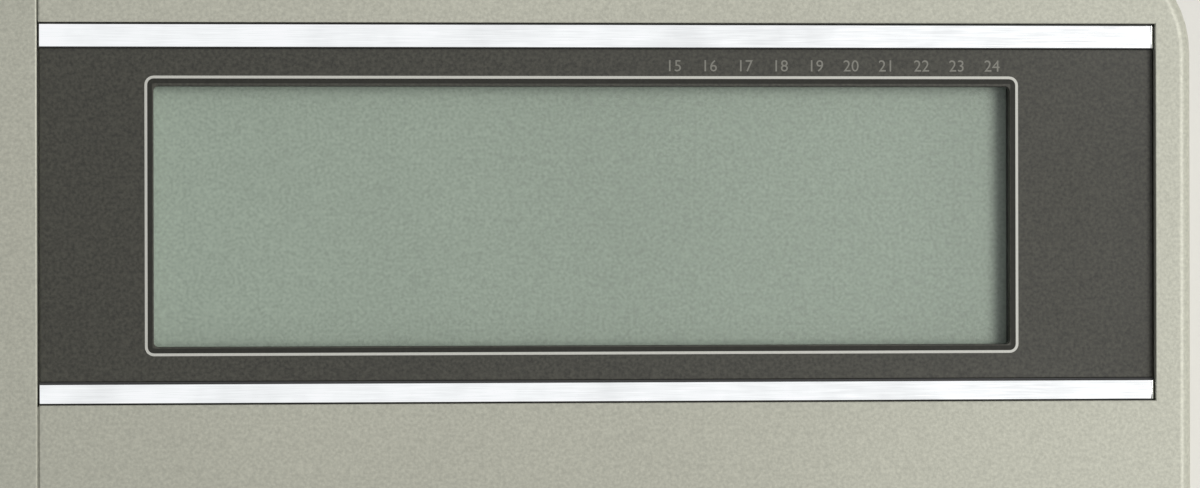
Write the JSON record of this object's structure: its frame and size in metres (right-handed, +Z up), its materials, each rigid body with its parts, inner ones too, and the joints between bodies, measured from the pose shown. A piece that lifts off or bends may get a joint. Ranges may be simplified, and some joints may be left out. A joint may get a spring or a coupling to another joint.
{
  "type": "pocket computer",
  "caption": "Wedge-shaped pocket computer with a wide display between bright strips, a full keyboard, and a pen plotter under a hinged lid.",
  "frame": {"origin": "middle of the case's length and width, on the surface that the four feet stand on", "axes": "+Z up from the feet, +X to the user's right, +Y away from the user, towards the sockets; the sloping deck rises by six degrees towards +Y"},
  "size_m": [0.2104, 0.149, 0.0346],
  "materials": {
    "champagne_plastic": "satin metallic paint",
    "dark_fascia": "satin",
    "bright_trim": "satin",
    "clear_sheet": "clear",
    "smoked_window": "smoked",
    "cell_glass": "grey-green, blank",
    "steel": "zinc plated",
    "screw_steel": "plated",
    "circuit_board": "solder mask",
    "dark_rubber": "matt",
    "black_plastic": "moulded",
    "panel_plastic": "fine texture",
    "key_plastic": "fine texture",
    "gear_plastic": "natural",
    "drum_finish": "ground",
    "motor_case": "plated",
    "paper": "uncoated",
    "black_ink_pen": "moulded",
    "blue_ink_pen": "moulded",
    "green_ink_pen": "moulded",
    "red_ink_pen": "moulded",
    "cable_film": "film",
    "cell_jacket": "sleeved"
  },
  "bodies": {
    "case": {"upper_case": "champagne_plastic", "lower_case": "champagne_plastic", "display_fascia": "dark_fascia", "upper_trim_strip": "bright_trim", "lower_trim_strip": "bright_trim", "display_lens": "clear_sheet", "liquid_crystal_cell": "cell_glass", "display_frame": "steel", "printer_chassis": "steel", "battery_contacts": "steel", "guide_rods": "steel", "roll_spindle": "steel", "case_screws": "screw_steel", "display_board": "circuit_board", "key_board": "circuit_board", "main_board": "circuit_board", "contact_strips": "dark_rubber", "dome_sheet": "dark_rubber", "rubber_feet": "dark_rubber", "carriage_belt": "dark_rubber", "soldered_parts": "black_plastic", "adapter_socket": "black_plastic", "peripheral_port": "black_plastic", "key_panel": "panel_plastic", "feed_motor": "motor_case", "carriage_motor": "motor_case", "paper_web": "paper", "ribbon_cable": "cable_film", "battery_cells": "cell_jacket"},
    "lid": {"printer_lid": "champagne_plastic", "lid_window": "smoked_window", "lid_hinge_pins": "steel", "tear_bar": "steel"},
    "cell_door": {"battery_door": "champagne_plastic"},
    "drum": {"feed_drum": "drum_finish", "drum_gear": "gear_plastic"},
    "pinion": {"motor_pinion": "gear_plastic"},
    "pinch": {"pinch_rollers": "dark_rubber"},
    "roll": {"paper_roll": "paper"},
    "carriage": {"pen_carriage": "gear_plastic"},
    "turret": {"pen_turret": "gear_plastic", "black_pen": "black_ink_pen", "blue_pen": "blue_ink_pen", "green_pen": "green_ink_pen", "red_pen": "red_ink_pen"},
    "motor_pulley": {"drive_pulley": "gear_plastic"},
    "far_pulley": {"idler_pulley": "gear_plastic"},
    "switch": {"power_switch": "black_plastic"},
    "dial": {"contrast_dial": "black_plastic"},
    "function_keys_body": {"function_keys": "key_plastic"},
    "number_keys_body": {"number_keys": "key_plastic"},
    "upper_letter_keys_body": {"upper_letter_keys": "key_plastic"},
    "home_letter_keys_body": {"home_letter_keys": "key_plastic"},
    "lower_letter_keys_body": {"lower_letter_keys": "key_plastic"},
    "shift_keys_body": {"shift_keys": "key_plastic"},
    "space_bar_body": {"space_bar": "key_plastic"},
    "cursor_keys_body": {"cursor_keys": "key_plastic"},
    "enter_key_body": {"enter_key": "key_plastic"},
    "keypad_digit_keys_body": {"keypad_digit_keys": "key_plastic"},
    "keypad_operator_keys_body": {"keypad_operator_keys": "key_plastic"}
  },
  "joints": [
    {"name": "lid_hinge", "type": "hinge", "parent": "case", "child": "lid", "pos_m": [-0.0536, 0.06895, 0.0327], "axis": [-1, 0, 0], "range_deg": [0, 95]},
    {"name": "cell_door_slide", "type": "slide", "parent": "case", "child": "cell_door", "axis": [1, 0, 0], "range_m": [0, 0.008]},
    {"name": "drum_turn", "type": "hinge", "parent": "case", "child": "drum", "pos_m": [-0.0556, 0.03448, 0.01812], "axis": [1, 0, 0], "continuous": true},
    {"name": "pinion_turn", "type": "hinge", "parent": "case", "child": "pinion", "pos_m": [-0.089, 0.04598, 0.02155], "axis": [1, 0, 0], "continuous": true},
    {"name": "pinch_turn", "type": "hinge", "parent": "case", "child": "pinch", "pos_m": [-0.0556, 0.03937, 0.01139], "axis": [1, 0, 0], "continuous": true},
    {"name": "roll_turn", "type": "hinge", "parent": "case", "child": "roll", "pos_m": [-0.0556, 0.06159, 0.01846], "axis": [1, 0, 0], "continuous": true},
    {"name": "carriage_slide", "type": "slide", "parent": "case", "child": "carriage", "axis": [1, 0, 0], "range_m": [0, 0.0455]},
    {"name": "turret_turn", "type": "hinge", "parent": "carriage", "child": "turret", "pos_m": [-0.0782, 0.01888, 0.01347], "axis": [0, 0.9945, 0.1045], "continuous": true},
    {"name": "motor_pulley_turn", "type": "hinge", "parent": "case", "child": "motor_pulley", "pos_m": [-0.025, 0.00878, 0.01391], "axis": [0, 0.9945, 0.1045], "range_deg": [-5, 760]},
    {"name": "far_pulley_turn", "type": "hinge", "parent": "case", "child": "far_pulley", "pos_m": [-0.085, 0.00878, 0.01391], "axis": [0, 0.9945, 0.1045], "range_deg": [-5, 760]},
    {"name": "power_slide", "type": "slide", "parent": "case", "child": "switch", "axis": [1, 0, 0], "range_m": [0, 0.004]},
    {"name": "contrast_turn", "type": "hinge", "parent": "case", "child": "dial", "pos_m": [0.0989, 0.04663, 0.02694], "axis": [0, -0.1045, 0.9945], "range_deg": [-135, 135]},
    {"name": "function_keys_press", "type": "slide", "parent": "case", "child": "function_keys_body", "axis": [0, 0.1045, -0.9945], "range_m": [0, 0.0016], "stiffness_N_per_m": 500, "springref_m": -0.0008, "deforming": ["dome_sheet"]},
    {"name": "number_keys_press", "type": "slide", "parent": "case", "child": "number_keys_body", "axis": [0, 0.1045, -0.9945], "range_m": [0, 0.0016], "stiffness_N_per_m": 500, "springref_m": -0.0008, "deforming": ["dome_sheet"]},
    {"name": "upper_letter_keys_press", "type": "slide", "parent": "case", "child": "upper_letter_keys_body", "axis": [0, 0.1045, -0.9945], "range_m": [0, 0.0016], "stiffness_N_per_m": 500, "springref_m": -0.0008, "deforming": ["dome_sheet"]},
    {"name": "home_letter_keys_press", "type": "slide", "parent": "case", "child": "home_letter_keys_body", "axis": [0, 0.1045, -0.9945], "range_m": [0, 0.0016], "stiffness_N_per_m": 500, "springref_m": -0.0008, "deforming": ["dome_sheet"]},
    {"name": "lower_letter_keys_press", "type": "slide", "parent": "case", "child": "lower_letter_keys_body", "axis": [0, 0.1045, -0.9945], "range_m": [0, 0.0016], "stiffness_N_per_m": 500, "springref_m": -0.0008, "deforming": ["dome_sheet"]},
    {"name": "shift_keys_press", "type": "slide", "parent": "case", "child": "shift_keys_body", "axis": [0, 0.1045, -0.9945], "range_m": [0, 0.0016], "stiffness_N_per_m": 500, "springref_m": -0.0008, "deforming": ["dome_sheet"]},
    {"name": "space_bar_press", "type": "slide", "parent": "case", "child": "space_bar_body", "axis": [0, 0.1045, -0.9945], "range_m": [0, 0.0016], "stiffness_N_per_m": 500, "springref_m": -0.0008, "deforming": ["dome_sheet"]},
    {"name": "cursor_keys_press", "type": "slide", "parent": "case", "child": "cursor_keys_body", "axis": [0, 0.1045, -0.9945], "range_m": [0, 0.0016], "stiffness_N_per_m": 500, "springref_m": -0.0008, "deforming": ["dome_sheet"]},
    {"name": "enter_key_press", "type": "slide", "parent": "case", "child": "enter_key_body", "axis": [0, 0.1045, -0.9945], "range_m": [0, 0.0016], "stiffness_N_per_m": 500, "springref_m": -0.0008, "deforming": ["dome_sheet"]},
    {"name": "keypad_digit_keys_press", "type": "slide", "parent": "case", "child": "keypad_digit_keys_body", "axis": [0, 0.1045, -0.9945], "range_m": [0, 0.0016], "stiffness_N_per_m": 500, "springref_m": -0.0008, "deforming": ["dome_sheet"]},
    {"name": "keypad_operator_keys_press", "type": "slide", "parent": "case", "child": "keypad_operator_keys_body", "axis": [0, 0.1045, -0.9945], "range_m": [0, 0.0016], "stiffness_N_per_m": 500, "springref_m": -0.0008, "deforming": ["dome_sheet"]}
  ],
  "couplings": [
    {"joint": "pinion_turn", "follows": "drum_turn", "ratio": -3},
    {"joint": "pinch_turn", "follows": "drum_turn", "ratio": -3.08},
    {"joint": "roll_turn", "follows": "drum_turn", "ratio": -0.6512},
    {"joint": "motor_pulley_turn", "follows": "carriage_slide", "rad_per_m": 286.53},
    {"joint": "far_pulley_turn", "follows": "carriage_slide", "rad_per_m": 286.53}
  ]
}
